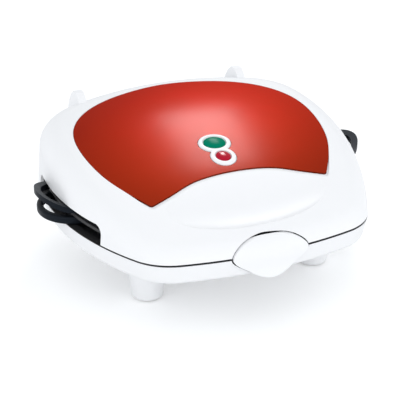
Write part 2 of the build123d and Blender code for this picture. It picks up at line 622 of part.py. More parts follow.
with BuildPart() as upper_plate:
    add(plate_body.part.mirror(Plane.XY.offset(PARTING_Z)))
    add(upper_ears.part)
    with Locations((0, -PLATE_Y / 2, LID_FRAME_BOTTOM + LID_FRAME_THICKNESS + 0.1)):
        Box(19, 7, 1.7, align=(Align.CENTER, Align.CENTER, Align.MIN), mode=Mode.SUBTRACT)
upper_plate.part.label = "upper_plate"

# Slide clips that hold the plates at the front
with BuildPart() as lower_clip:
    with Locations((0, -PLATE_Y / 2 - 8, BASE_FRAME_TOP + 0.2)):
        Box(26, 9, 5.4, align=(Align.CENTER, Align.CENTER, Align.MIN))
    fillet(lower_clip.edges().filter_by(Axis.Z), 1.5)
    with Locations((0, -PLATE_Y / 2 - 1.4, 53.7)):
        Box(17.6, 5.4, 2.9, align=(Align.CENTER, Align.CENTER, Align.MIN))
    with Locations((0, -PLATE_Y / 2 - 8, 46.4)):
        Box(8, 4, 5, align=(Align.CENTER, Align.CENTER, Align.MIN))
    with Locations((0, -PLATE_Y / 2 - 8, 46.4)):
        Box(16, 4, 2.0, align=(Align.CENTER, Align.CENTER, Align.MIN))
    with Locations(*[(x, -PLATE_Y / 2 - 8.6, 56.6) for x in (-4, 0, 4)]):
        Box(1.4, 5, 1.2, mode=Mode.SUBTRACT)
lower_clip.part.label = "lower_clip"

with BuildPart() as upper_clip:
    with Locations((0, -PLATE_Y / 2 - 9, 57.2)):
        Box(26, 8, 2.8, align=(Align.CENTER, Align.CENTER, Align.MIN))
    fillet(upper_clip.edges().filter_by(Axis.Z), 1.5)
    with Locations((0, -PLATE_Y / 2 - 9, 59.5)):
        Box(8, 4, 4, align=(Align.CENTER, Align.CENTER, Align.MIN))
    with Locations((0, -PLATE_Y / 2 - 4.8, LID_FRAME_BOTTOM + LID_FRAME_THICKNESS + 0.3)):
        Box(15.6, 12.4, 1.2, align=(Align.CENTER, Align.CENTER, Align.MIN))
    with Locations(*[(x, -PLATE_Y / 2 - 9, 57.2) for x in (-4, 0, 4)]):
        Box(1.4, 5, 1.2, mode=Mode.SUBTRACT)
upper_clip.part.label = "upper_clip"

# Heating elements and reflectors


def element(height, end_y, stub):
    """Rod of a heating element, bent in a flat loop whose two ends stick out at the back."""
    with BuildPart() as rod:
        with BuildLine(Plane.XY.offset(height)) as path:
            FilletPolyline((-ELEMENT_END_X, end_y), (-ELEMENT_END_X, ELEMENT_Y), (-ELEMENT_X, ELEMENT_Y),
                           (-ELEMENT_X, -ELEMENT_Y), (ELEMENT_X, -ELEMENT_Y), (ELEMENT_X, ELEMENT_Y),
                           (ELEMENT_END_X, ELEMENT_Y), (ELEMENT_END_X, end_y), radius=7)
        with BuildSketch(Plane(origin=(-ELEMENT_END_X, end_y, height), z_dir=(0, -1, 0))):
            Circle(ELEMENT_RADIUS)
        sweep(path=path.line)
        with Locations((-ELEMENT_END_X, end_y + stub / 2, height), (ELEMENT_END_X, end_y + stub / 2, height)):
            Cylinder(1.2, stub, rotation=(90, 0, 0))
    return rod.part


lower_element = element(LOWER_ELEMENT_Z, LOWER_ELEMENT_END_Y, 12.0)
lower_element.label = "lower_element"
upper_element = element(UPPER_ELEMENT_Z, UPPER_ELEMENT_END_Y, 11.0)
upper_element.label = "upper_element"

with BuildPart() as lower_reflector:
    with BuildSketch(Plane.XY.offset(47.7)):
        RectangleRounded(PLATE_X - 6, PLATE_Y - 6, PLATE_CORNER - 2)
    extrude(amount=0.8)
    with BuildSketch(Plane.XY.offset(48.5)):
        RectangleRounded(PLATE_X - 16, PLATE_Y - 16, PLATE_CORNER - 4)
    extrude(amount=-5.2, taper=25)
    with BuildSketch(Plane.XY.offset(48.5)):
        RectangleRounded(PLATE_X - 17.8, PLATE_Y - 17.8, PLATE_CORNER - 4.9)
    extrude(amount=-4.4, taper=25, mode=Mode.SUBTRACT)
    with Locations((-ELEMENT_END_X, 56, LOWER_ELEMENT_Z), (ELEMENT_END_X, 56, LOWER_ELEMENT_Z)):
        Box(4, 16, 6, mode=Mode.SUBTRACT)
lower_reflector.part.label = "lower_reflector"

flange_z = LID_FRAME_BOTTOM + 6.5
with BuildPart() as upper_reflector:
    with BuildSketch(Plane.XY.offset(flange_z)):
        RectangleRounded(PLATE_X - 6, PLATE_Y - 8, PLATE_CORNER - 2)
    extrude(amount=0.8)
    with BuildSketch(Plane.XY.offset(flange_z)):
        RectangleRounded(PLATE_X - 16, PLATE_Y - 19, PLATE_CORNER - 2)
    extrude(amount=12.8, taper=32)
    with BuildSketch(Plane.XY.offset(flange_z)):
        RectangleRounded(PLATE_X - 17.8, PLATE_Y - 20.8, PLATE_CORNER - 2.9)
    extrude(amount=12.0, taper=32, mode=Mode.SUBTRACT)
    with Locations((-ELEMENT_END_X, 56, UPPER_ELEMENT_Z), (ELEMENT_END_X, 56, UPPER_ELEMENT_Z)):
        Cylinder(2.2, 16, rotation=(90, 0, 0), mode=Mode.SUBTRACT)
upper_reflector.part.label = "upper_reflector"

with BuildPart() as thermostat:
    with Locations((-52, 0, flange_z + 12.9)):
        Cylinder(8.2, 4.5, align=(Align.CENTER, Align.CENTER, Align.MIN))
        Cylinder(6.6, 8.0, align=(Align.CENTER, Align.CENTER, Align.MIN))
    with Locations((-52, -8.5, flange_z + 18.7), (-52, 8.5, flange_z + 18.7)):
        Box(4.6, 8, 0.8)
thermostat.part.label = "thermostat"

with BuildPart() as thermal_fuse:
    with Locations((52, 0, flange_z + 15.1)):
        Cylinder(2.1, 18, rotation=(90, 0, 0))
        Cylinder(0.6, 30, rotation=(90, 0, 0))
thermal_fuse.part.label = "thermal_fuse"

# Latch: a curved tab with a hooked nose behind it, hung on a pin in the lid
front_axis = Axis((0, END_ARC_RADIUS - FRONT_REACH, 0), (0, 0, 1))


def behind_front(*points):
    """Points of a side view, given as distance behind the part's front and height."""
    return [(back - FRONT_REACH, height) for back, height in points]


latch_front = behind_front((8.3, 64.9), (5.0, 62.8), (2.2, 59.8), (0.1, 56.0), (-1.0, 51.0), (-0.9, 46.0),
                           (-0.9, 41.0), (-1.7, 37.6), (-2.6, 34.4))
latch_back = behind_front((-0.7, 33.6), (0.5, 37.2), (1.3, 41.0), (1.4, 46.0), (1.3, 51.0), (2.3, 55.2),
                          (4.1, 58.4), (6.6, 61.0), (9.5, 63.0))

with BuildPart() as latch_skin:
    with BuildSketch(Plane.YZ):
        with BuildLine():
            Spline(latch_front)
            Line(latch_front[-1], latch_back[0])
            Spline(latch_back)
            Line(latch_back[-1], latch_front[0])
        make_face()
    revolve(axis=front_axis, revolution_arc=16)

with BuildPart() as latch:
    add(latch_skin.part.rotate(front_axis, -8))
    add(latch_oval(0), mode=Mode.INTERSECT)
    with BuildSketch(Plane.YZ.offset(-LATCH_LUG_X - 1.5)) as latch_lug:
        with BuildLine():
            Polyline(behind_front((1.3, 53.0), (1.5, 56.6), (4.2, 59.8), (8.6, 60.3), (12.6, 58.6), (12.4, 55.8),
                                  (9.6, 54.4)), close=True)
        make_face()
        with Locations((LATCH_PIVOT_Y, LATCH_PIVOT_Z)):
            Circle(PIN_RADIUS + RUNNING_CLEARANCE, mode=Mode.SUBTRACT)
    extrude(amount=3.0)
    with BuildSketch(Plane.YZ.offset(LATCH_LUG_X - 1.5)):
        add(latch_lug.sketch_local)
    extrude(amount=3.0)
    with Locations((0, LATCH_PIVOT_Y - 7.4, 41.4)):
        Box(15, 4.4, 3.6)
latch.part.label = "latch"

with BuildPart() as latch_pin:
    with Locations((0, LATCH_PIVOT_Y, LATCH_PIVOT_Z)):
        Cylinder(PIN_RADIUS, 2 * LATCH_LUG_X + 9.6, rotation=(0, 90, 0))
latch_pin.part.label = "latch_pin"

floor_z = BASE_BOTTOM_Z + WALL
with BuildPart() as latch_keeper:
    with Locations((0, LATCH_PIVOT_Y - 0.9, 43.6)):
        Box(20, 8, 1.5, align=(Align.CENTER, Align.CENTER, Align.MIN))
    with Locations((0, LATCH_PIVOT_Y + 2.35, floor_z)):
        Box(20, 1.5, 45.1 - floor_z, align=(Align.CENTER, Align.CENTER, Align.MIN))
    with Locations((0, LATCH_PIVOT_Y + 6.6, floor_z)):
        Box(20, 8.5, 1.5, align=(Align.CENTER, Align.CENTER, Align.MIN))
latch_keeper.part.label = "latch_keeper"

# Terminal block and the leads inside the base
lead_z = floor_z + 3.1
with BuildPart() as terminal_block:
    with Locations((-38, 84, floor_z + 0.1)):
        Box(30, 12, 8.4, align=(Align.CENTER, Align.CENTER, Align.MIN))
    with Locations((-47, 84, lead_z), (-38, 84, lead_z), (-29, 84, lead_z)):
        Cylinder(1.9, 12, rotation=(90, 0, 0), mode=Mode.SUBTRACT)
    with Locations((-47, 84, lead_z + 2.8), (-38, 84, lead_z + 2.8), (-29, 84, lead_z + 2.8)):
        Cylinder(1.7, 4, mode=Mode.SUBTRACT)
terminal_block.part.label = "terminal_block"

with BuildPart() as base_leads:
    for start, end_x in ((-47, -ELEMENT_END_X), (-29, ELEMENT_END_X)):
        with BuildLine() as lead:
            FilletPolyline((start, 77.8, lead_z), (start, 72.0, lead_z), (end_x, 70.0, lead_z), (end_x, 66.2, 45.4),
                           radius=1.2)
        with BuildSketch(Plane(origin=lead.line @ 0, z_dir=lead.line % 0)):
            Circle(1.0)
        sweep(path=lead.line)
base_leads.part.label = "base_leads"

assembly = [lid_shell.part, top_panel.part, indicator_bezel.part, green_lens.part, red_lens.part, lamp_holder.part,
            neon_lamps.part, lid_frame.part, upper_plate.part, upper_element, upper_reflector.part, thermostat.part,
            thermal_fuse.part, lid_screws.part, latch_pin.part, latch.part, upper_clip.part, lower_clip.part,
            base_shell.part, base_frame.part, lower_plate.part, lower_element, lower_reflector.part, foot_pads.part,
            base_screws.part, hinge_pins.part, cord_gland.part, latch_keeper.part, terminal_block.part,
            base_leads.part]

for piece in assembly:
    export_step(piece, f"parts/{piece.label}.step")
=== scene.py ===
"""Look of a sandwich and waffle maker: glossy white shells, red lacquered panel, black coated plates.

Metres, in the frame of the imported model: +X to the right of a person in front, +Y to the back, +Z up.
"""
from __future__ import annotations

import json
import logging
import math
from abc import ABC, abstractmethod
from dataclasses import dataclass, field
from enum import Enum
from typing import Any

import bpy
import numpy as np
from mathutils import Euler, Matrix, Vector

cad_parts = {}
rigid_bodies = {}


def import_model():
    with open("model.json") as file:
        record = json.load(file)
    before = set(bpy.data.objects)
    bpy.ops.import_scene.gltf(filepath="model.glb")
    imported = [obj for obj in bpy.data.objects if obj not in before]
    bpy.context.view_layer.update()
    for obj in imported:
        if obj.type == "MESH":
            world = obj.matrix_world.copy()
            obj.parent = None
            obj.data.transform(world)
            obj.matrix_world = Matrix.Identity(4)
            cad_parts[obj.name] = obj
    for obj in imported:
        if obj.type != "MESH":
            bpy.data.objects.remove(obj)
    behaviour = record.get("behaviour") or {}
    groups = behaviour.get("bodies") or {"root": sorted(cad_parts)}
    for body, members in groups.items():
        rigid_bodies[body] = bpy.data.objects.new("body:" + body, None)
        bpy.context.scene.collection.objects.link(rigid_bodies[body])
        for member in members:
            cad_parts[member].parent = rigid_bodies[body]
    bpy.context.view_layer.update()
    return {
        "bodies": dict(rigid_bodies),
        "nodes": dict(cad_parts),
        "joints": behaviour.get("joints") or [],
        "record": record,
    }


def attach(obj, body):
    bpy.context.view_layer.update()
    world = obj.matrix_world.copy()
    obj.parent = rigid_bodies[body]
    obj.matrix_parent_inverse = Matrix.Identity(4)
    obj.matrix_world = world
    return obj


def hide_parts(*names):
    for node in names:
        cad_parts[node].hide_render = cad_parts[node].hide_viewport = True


LOG = logging.getLogger("sandwich_maker")

Colour = tuple[float, float, float]
Point = tuple[float, float, float]
Grid = np.ndarray

MM = 0.001
WHITE = (1.0, 1.0, 1.0, 1.0)


class Grain(Enum):
    """How a surface's fine relief runs: how its coordinates are stretched along each axis."""

    EVEN = (1.0, 1.0, 1.0)
    ALONG_X = (0.02, 1.0, 1.0)


# Shader node groups, each built once and shared by the materials

# The fine relief, and the slow drift, whose scale is a share of the relief's
RELIEF_DETAIL = 3.0
RELIEF_ROUGHNESS = 0.55
DRIFT_DETAIL = 2.0
DRIFT_SCALE_SHARE = 0.03
# The part of the drift that is spread over the whole range of the gloss
DRIFT_SPREAD = (0.3, 0.7)


class NodeGroup:
    """A shader node group with named inputs and outputs, and short ways to fill it."""

    def __init__(self, name: str, inputs: dict[str, float], outputs: dict[str, str]) -> None:
        """Make the empty group.

        Args:
            name: the group's name.
            inputs: each float input's name and default.
            outputs: each output's name and socket type.
        """
        self.tree = bpy.data.node_groups.new(name, "ShaderNodeTree")
        for label, value in inputs.items():
            socket = self.tree.interface.new_socket(name=label, in_out="INPUT",
                                                    socket_type="NodeSocketFloat")
            socket.default_value = value
        for label, kind in outputs.items():
            self.tree.interface.new_socket(name=label, in_out="OUTPUT", socket_type=kind)
        self.source = self.tree.nodes.new("NodeGroupInput")
        self.sink = self.tree.nodes.new("NodeGroupOutput")

    def node(self, kind: str, **settings: Any) -> bpy.types.Node:
        """Add a node.

        Args:
            kind: the node's type.
            settings: values of its properties, by name.

        Returns:
            The node.
        """
        made = self.tree.nodes.new(kind)
        for label, value in settings.items():
            setattr(made, label, value)
        return made

    def link(self, start: bpy.types.NodeSocket, end: bpy.types.NodeSocket) -> None:
        """Join two sockets."""
        self.tree.links.new(start, end)

    def scaled(self, value: bpy.types.NodeSocket, factor: float) -> bpy.types.NodeSocket:
        """Multiply a socket by a number.

        Args:
            value: the socket.
            factor: the number.

        Returns:
            The product's socket.
        """
        made = self.node("ShaderNodeMath", operation="MULTIPLY")
        self.link(value, made.inputs[0])
        made.inputs[1].default_value = factor
        return made.outputs[0]

    def object_coordinates(self, stretch: Point) -> bpy.types.NodeSocket:
        """Object coordinates, stretched along each axis.

        Args:
            stretch: the factor along each axis.

        Returns:
            The coordinates' socket.
        """
        place = self.node("ShaderNodeTexCoord")
        mapping = self.node("ShaderNodeMapping")
        mapping.inputs["Scale"].default_value = stretch
        self.link(place.outputs["Object"], mapping.inputs["Vector"])
        return mapping.outputs["Vector"]


def make_grain_group(grain: Grain) -> bpy.types.ShaderNodeTree:
    """Fine relief of a surface: a height, and a slower drift for its colour and gloss.

    Args:
        grain: which way the relief runs.

    Returns:
        The node group, with input Scale and outputs Height and Drift.
    """
    group = NodeGroup(f"grain_{grain.name.lower()}", {"Scale": 900.0},
                      {"Height": "NodeSocketFloat", "Drift": "NodeSocketFloat"})
    scale = group.source.outputs["Scale"]
    place = group.object_coordinates(grain.value)
    fine = group.node("ShaderNodeTexNoise", noise_dimensions="3D")
    fine.inputs["Detail"].default_value = RELIEF_DETAIL
    fine.inputs["Roughness"].default_value = RELIEF_ROUGHNESS
    group.link(place, fine.inputs["Vector"])
    group.link(scale, fine.inputs["Scale"])
    group.link(fine.outputs["Fac"], group.sink.inputs["Height"])
    slow = group.node("ShaderNodeTexNoise", noise_dimensions="3D")
    slow.inputs["Detail"].default_value = DRIFT_DETAIL
    group.link(place, slow.inputs["Vector"])
    group.link(group.scaled(scale, DRIFT_SCALE_SHARE), slow.inputs["Scale"])
    group.link(slow.outputs["Fac"], group.sink.inputs["Drift"])
    return group.tree


def make_range_group() -> bpy.types.ShaderNodeTree:
    """A value between two limits, led by a mask from 0 to 1 whose middle is spread out.

    Returns:
        The node group, with inputs Mask, Low and High and output Value.
    """
    group = NodeGroup("range", {"Mask": 0.5, "Low": 0.2, "High": 0.4}, {"Value": "NodeSocketFloat"})
    spread = group.node("ShaderNodeMapRange", clamp=True)
    spread.inputs["From Min"].default_value, spread.inputs["From Max"].default_value = DRIFT_SPREAD
    group.link(group.source.outputs["Mask"], spread.inputs["Value"])
    group.link(group.source.outputs["Low"], spread.inputs["To Min"])
    group.link(group.source.outputs["High"], spread.inputs["To Max"])
    group.link(spread.outputs["Result"], group.sink.inputs["Value"])
    return group.tree


# Finishes


@dataclass(frozen=True)
class Finish:
    """A surface finish: its colours, gloss and relief.

    The two colours are the ends that the slow drift runs between. roughness holds the two ends of
    the gloss in the same way. grain_scale is in grains per metre and bump_distance in metres.
    sockets holds further numbers of the Principled BSDF by name.
    """

    name: str
    colour: Colour
    colour_far: Colour
    roughness: tuple[float, float]
    grain_scale: float
    bump_distance: float
    bump_strength: float
    grain: Grain = Grain.EVEN
    sockets: dict[str, float | tuple[float, ...]] = field(default_factory=dict)


class Paintbox:
    """Builds a material for each finish, and hands it out by the finish's name."""

    def __init__(self) -> None:
        """Build the shared node groups."""
        self.grains = {grain: make_grain_group(grain) for grain in Grain}
        self.range_group = make_range_group()
        self.made: dict[str, bpy.types.Material] = {}

    def material(self, finish: Finish) -> bpy.types.Material:
        """The material of a finish, built when it is first asked for.

        Args:
            finish: the finish.

        Returns:
            The material.
        """
        if finish.name in self.made:
            return self.made[finish.name]
        material = bpy.data.materials.new(finish.name)
        material.use_nodes = True
        tree = material.node_tree
        shader = tree.nodes["Principled BSDF"]
        grain = tree.nodes.new("ShaderNodeGroup")
        grain.node_tree = self.grains[finish.grain]
        grain.inputs["Scale"].default_value = finish.grain_scale
        gloss = tree.nodes.new("ShaderNodeGroup")
        gloss.node_tree = self.range_group
        gloss.inputs["Low"].default_value, gloss.inputs["High"].default_value = finish.roughness
        tree.links.new(grain.outputs["Drift"], gloss.inputs["Mask"])
        tree.links.new(gloss.outputs["Value"], shader.inputs["Roughness"])
        tint = tree.nodes.new("ShaderNodeMix")
        tint.data_type = "RGBA"
        tint.inputs["A"].default_value = (*finish.colour, 1.0)
        tint.inputs["B"].default_value = (*finish.colour_far, 1.0)
        tree.links.new(grain.outputs["Drift"], tint.inputs["Factor"])
        tree.links.new(tint.outputs["Result"], shader.inputs["Base Color"])
        bump = tree.nodes.new("ShaderNodeBump")
        bump.inputs["Strength"].default_value = finish.bump_strength
        bump.inputs["Distance"].default_value = finish.bump_distance
        tree.links.new(grain.outputs["Height"], bump.inputs["Height"])
        tree.links.new(bump.outputs["Normal"], shader.inputs["Normal"])
        for socket, value in finish.sockets.items():
            shader.inputs[socket].default_value = value
        self.made[finish.name] = material
        return material


WHITE_SHELL = Finish(
    "white_shell", (0.875, 0.88, 0.895), (0.885, 0.89, 0.905), (0.42, 0.47),
    grain_scale=1400.0, bump_distance=0.01 * MM, bump_strength=0.12, sockets={"IOR": 1.22})
RED_PANEL = Finish(
    "red_lacquer", (0.144, 0.0125, 0.001), (0.166, 0.0145, 0.0015), (0.50, 0.54),
    grain_scale=2600.0, bump_distance=0.01 * MM, bump_strength=0.25,
    sockets={"Metallic": 0.8, "Specular IOR Level": 0.0, "Specular Tint": (1.0, 0.3, 0.05, 1.0),
             "Coat Weight": 0.105, "Coat Roughness": 0.21})
GREEN_LENS = Finish(
    "green_lens", (0.0, 0.19, 0.11), (0.001, 0.24, 0.14), (0.20, 0.24),
    grain_scale=500.0, bump_distance=0.02 * MM, bump_strength=0.1, sockets={"IOR": 1.06})
RED_LENS = Finish(
    "red_lens", (0.42, 0.002, 0.02), (0.50, 0.004, 0.035), (0.16, 0.22),
    grain_scale=500.0, bump_distance=0.02 * MM, bump_strength=0.1, sockets={"IOR": 1.22})
NONSTICK = Finish(
    "nonstick_coating", (0.005, 0.006, 0.008), (0.008, 0.010, 0.014), (0.34, 0.44),
    grain_scale=1500.0, bump_distance=0.06 * MM, bump_strength=0.3,
    sockets={"IOR": 1.24, "Specular Tint": (0.65, 0.8, 1.0, 1.0)})
BLACK_FRAME = Finish(
    "black_frame", (0.018, 0.018, 0.020), (0.026, 0.026, 0.028), (0.46, 0.56),
    grain_scale=1100.0, bump_distance=0.08 * MM, bump_strength=0.4)
REFLECTOR = Finish(
    "pressed_aluminium", (0.80, 0.80, 0.80), (0.87, 0.87, 0.86), (0.16, 0.30),
    grain_scale=1300.0, bump_distance=0.03 * MM, bump_strength=0.25, grain=Grain.ALONG_X,
    sockets={"Metallic": 1.0})
ELEMENT = Finish(
    "element_tube", (0.16, 0.15, 0.145), (0.27, 0.235, 0.20), (0.38, 0.52),
    grain_scale=700.0, bump_distance=0.04 * MM, bump_strength=0.3, sockets={"Metallic": 0.9})
STEEL = Finish(
    "plated_steel", (0.58, 0.58, 0.59), (0.66, 0.66, 0.66), (0.24, 0.36),
    grain_scale=1500.0, bump_distance=0.02 * MM, bump_strength=0.25, grain=Grain.ALONG_X,
    sockets={"Metallic": 1.0})
RUBBER = Finish(
    "grey_rubber", (0.30, 0.305, 0.31), (0.36, 0.365, 0.37), (0.62, 0.75),
    grain_scale=1200.0, bump_distance=0.06 * MM, bump_strength=0.4)
LAMP_GLASS = Finish(
    "lamp_glass", (0.95, 0.80, 0.65), (0.98, 0.86, 0.72), (0.05, 0.09),
    grain_scale=300.0, bump_distance=0.01 * MM, bump_strength=0.1)
CREAM_BLOCK = Finish(
    "cream_block", (0.70, 0.67, 0.56), (0.76, 0.73, 0.62), (0.42, 0.52),
    grain_scale=1000.0, bump_distance=0.05 * MM, bump_strength=0.3)
LEAD_SLEEVE = Finish(
    "lead_sleeve", (0.42, 0.05, 0.03), (0.50, 0.07, 0.04), (0.42, 0.55),
    grain_scale=1200.0, bump_distance=0.04 * MM, bump_strength=0.3)


# The studio


@dataclass(frozen=True)
class SoftLamp:
    """A soft oblong lamp that faces the middle of the part.

    toward is the direction from the part to the lamp and distance how far away it hangs. size holds
    its level and its rising side. Both are in metres. power is in watts, and roll turns the lamp about
    its own beam, in degrees. A lamp that is glossy_only makes reflections and no plain light.
    """

    name: str
    toward: Point
    distance: float
    size: tuple[float, float]
    power: float
    roll: float = 0.0
    glossy_only: bool = False


STRIP_BEHIND = SoftLamp("strip_behind", (0.36, 0.58, 0.73), 1.5, (0.24, 0.62), 17.0, 25.0, glossy_only=True)
SOFTBOX_LEFT = SoftLamp("softbox_left", (-1.0, -0.6, 0.1), 2.0, (2.0, 1.2), 10.0)
SOFTBOX_RIGHT = SoftLamp("softbox_right", (0.8, -1.0, 0.3), 2.0, (2.0, 1.2), 8.0)


@dataclass
class Studio:
    """Floor, lamps, world and camera.

    Lengths are in metres, but the sensor's is in millimetres, and angles are in degrees. The camera
    stands at azimuth and elevation from its target. plain_* is the world's light on the part, and
    floor_glow is what the eye sees the floor send out by itself.
    """

    azimuth: float = -23.7
    elevation: float = 26.0
    distance: float = 1.06575
    target: Point = (-0.00735, -0.0105, 0.04725)
    focal_pixels: float = 1400.0
    frame_pixels: float = 405.0
    sensor: float = 36.0
    plain_colour: Colour = (0.96, 0.98, 1.0)
    plain_strength: float = 0.93
    floor_reach: float = 6.0
    floor_colour: Colour = (0.92, 0.925, 0.93)
    floor_roughness: float = 0.7
    floor_glow: float = 0.22

    def view_direction(self) -> np.ndarray:
        """The way from the target to the camera.

        Returns:
            The unit vector.
        """
        turn, rise = math.radians(self.azimuth), math.radians(self.elevation)
        level = math.cos(rise)
        return np.array([math.sin(turn) * level, -math.cos(turn) * level, math.sin(rise)])

    def add_camera(self) -> None:
        """Place the camera, level, looking at the target."""
        lens = bpy.data.cameras.new("camera")
        lens.sensor_width = self.sensor
        lens.sensor_fit = "HORIZONTAL"
        lens.lens = self.focal_pixels * self.sensor / self.frame_pixels
        camera = bpy.data.objects.new("camera", lens)
        bpy.context.scene.collection.objects.link(camera)
        camera.location = np.array(self.target) + self.view_direction() * self.distance
        camera.rotation_euler = (math.radians(90.0 - self.elevation), 0.0, math.radians(self.azimuth))
        bpy.context.scene.camera = camera

    def add_lamp(self, lamp: SoftLamp) -> None:
        """Hang a soft lamp.

        Args:
            lamp: its place, size and power.
        """
        light = bpy.data.lights.new(lamp.name, "AREA")
        light.shape = "RECTANGLE"
        light.size, light.size_y = lamp.size
        light.energy = lamp.power
        holder = bpy.data.objects.new(lamp.name, light)
        holder.visible_diffuse = not lamp.glossy_only
        bpy.context.scene.collection.objects.link(holder)
        direction = np.array(lamp.toward) / np.linalg.norm(lamp.toward)
        tilt = math.atan2(math.hypot(direction[0], direction[1]), direction[2])
        facing = Euler((tilt, 0.0, math.atan2(direction[0], -direction[1])))
        turned = facing.to_matrix() @ Matrix.Rotation(math.radians(lamp.roll), 3, "Z")
        holder.matrix_world = Matrix.LocRotScale(Vector(direction * lamp.distance), turned, None)

    def add_world(self) -> None:
        """A white world for the eye and for reflections, and a softer one for plain light."""
        world = bpy.data.worlds.new("studio")
        bpy.context.scene.world = world
        world.use_nodes = True
        tree = world.node_tree
        tree.nodes.clear()
        path = tree.nodes.new("ShaderNodeLightPath")
        plain = tree.nodes.new("ShaderNodeBackground")
        plain.inputs["Color"].default_value = (*self.plain_colour, 1.0)
        plain.inputs["Strength"].default_value = self.plain_strength
        shown = tree.nodes.new("ShaderNodeBackground")
        shown.inputs["Color"].default_value = WHITE
        shown.inputs["Strength"].default_value = 1.0
        seen = tree.nodes.new("ShaderNodeMath")
        seen.operation = "MAXIMUM"
        seen_too = tree.nodes.new("ShaderNodeMath")
        seen_too.operation = "MAXIMUM"
        mix = tree.nodes.new("ShaderNodeMixShader")
        out = tree.nodes.new("ShaderNodeOutputWorld")
        tree.links.new(path.outputs["Is Camera Ray"], seen.inputs[0])
        tree.links.new(path.outputs["Is Glossy Ray"], seen.inputs[1])
        tree.links.new(seen.outputs[0], seen_too.inputs[0])
        tree.links.new(path.outputs["Is Transmission Ray"], seen_too.inputs[1])
        tree.links.new(seen_too.outputs[0], mix.inputs["Fac"])
        tree.links.new(plain.outputs[0], mix.inputs[1])
        tree.links.new(shown.outputs[0], mix.inputs[2])
        tree.links.new(mix.outputs[0], out.inputs["Surface"])

    def add_floor(self) -> None:
        """A wide pale floor that shows white and keeps the part's shadow."""
        reach = self.floor_reach
        corners = [(-reach, -reach, 0), (reach, -reach, 0), (reach, reach, 0), (-reach, reach, 0)]
        mesh = bpy.data.meshes.new("floor")
        mesh.from_pydata(corners, [], [(0, 1, 2, 3)])
        floor = bpy.data.objects.new("floor", mesh)
        bpy.context.scene.collection.objects.link(floor)
        material = bpy.data.materials.new("floor_paper")
        material.use_nodes = True
        tree = material.node_tree
        shader = tree.nodes["Principled BSDF"]
        shader.inputs["Base Color"].default_value = (*self.floor_colour, 1.0)
        shader.inputs["Roughness"].default_value = self.floor_roughness
        path = tree.nodes.new("ShaderNodeLightPath")
        glow = tree.nodes.new("ShaderNodeMath")
        glow.operation = "MULTIPLY"
        glow.inputs[1].default_value = self.floor_glow
        tree.links.new(path.outputs["Is Camera Ray"], glow.inputs[0])
        tree.links.new(glow.outputs[0], shader.inputs["Emission Strength"])
        shader.inputs["Emission Color"].default_value = WHITE
        mesh.materials.append(material)

    def build(self) -> None:
        """Set up the whole studio."""
        bpy.context.scene.view_settings.view_transform = "Standard"
        self.add_world()
        self.add_floor()
        for lamp in (STRIP_BEHIND, SOFTBOX_LEFT, SOFTBOX_RIGHT):
            self.add_lamp(lamp)
        self.add_camera()
        LOG.info("studio is set up")


# Surfaces


def signed_volume(vertices: Grid, triangles: Grid) -> float:
    """Volume inside a closed mesh: the sum of a . (b x c) / 6 over its triangles, negative if inside out.

    Args:
        vertices: points, one per row.
        triangles: vertex numbers, three per row.

    Returns:
        The volume.
    """
    first, second, third = (vertices[triangles[:, corner]] for corner in range(3))
    return float(np.sum(first * np.cross(second, third)) / 6.0)


def ring_surface(name: str, rings: Grid) -> bpy.types.Object:
    """Close a stack of rings into one smooth solid.

    rings[j, i] is the point at share i of the way round ring j. Neighbouring rings are joined by
    quads, and the first and last ring are each closed by a fan around their mean point.

    Args:
        name: the object's name.
        rings: points, shaped (rings, points round each ring, 3).

    Returns:
        The new object, at the origin.
    """
    count, around = rings.shape[:2]
    vertices = np.vstack([rings.reshape(-1, 3), rings[0].mean(axis=0), rings[-1].mean(axis=0)])
    here = np.arange(around)
    there = (here + 1) % around
    row = np.arange(count - 1)[:, None] * around
    quads = np.stack([row + here, row + there, row + around + there, row + around + here], axis=-1)
    quads = quads.reshape(-1, 4)
    last = (count - 1) * around
    low_fan = np.stack([there, here, np.full(around, count * around)], axis=-1)
    high_fan = np.stack([last + here, last + there, np.full(around, count * around + 1)], axis=-1)
    triangles = np.vstack([quads[:, :3], quads[:, [0, 2, 3]], low_fan, high_fan])
    if signed_volume(vertices, triangles) < 0:
        quads, low_fan, high_fan = quads[:, ::-1], low_fan[:, ::-1], high_fan[:, ::-1]
    mesh = bpy.data.meshes.new(name)
    mesh.from_pydata(vertices.tolist(), [], quads.tolist() + low_fan.tolist() + high_fan.tolist())
    mesh.polygons.foreach_set("use_smooth", np.ones(len(mesh.polygons), dtype=bool))
    made = bpy.data.objects.new(name, mesh)
    bpy.context.scene.collection.objects.link(made)
    return made


def smooth_step(value: Grid, low: float, high: float) -> Grid:
    """0 below low, 1 above high and 3t^2 - 2t^3 between, with t the share of the way."""
    share = np.clip((value - low) / (high - low), 0.0, 1.0)
    return share * share * (3.0 - 2.0 * share)


# Sub-assemblies


@dataclass
class SubAssembly(ABC):
    """Pieces that are made or bought as one unit of the appliance."""

    frame: dict[str, Any]
    paints: Paintbox

    @abstractmethod
    def build(self) -> None:
        """Make and dress the unit's pieces."""

    def dress(self, finish: Finish, *nodes: str) -> None:
        """Put one finish on some of the frame's nodes.

        Args:
            finish: the finish.
            nodes: the nodes' names.
        """
        for node in nodes:
            for slot in self.frame["nodes"][node].material_slots:
                slot.material = self.paints.material(finish)
            LOG.info("%s: dressed %s in %s", type(self).__name__, node, finish.name)

    def stand_in(self, piece: bpy.types.Object, finish: Finish, slot: str, body: str, node: str) -> None:
        """Finish a new piece and show it in place of a node.

        Args:
            piece: the new piece.
            finish: its finish.
            slot: the record's material slot that it answers to; not used.
            body: the body that it rides on.
            node: the node that it stands for.
        """
        piece.data.materials.append(self.paints.material(finish))
        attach(piece, body)
        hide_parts(node)
        LOG.info("%s: built %s with %d faces", type(self).__name__, piece.name, len(piece.data.polygons))


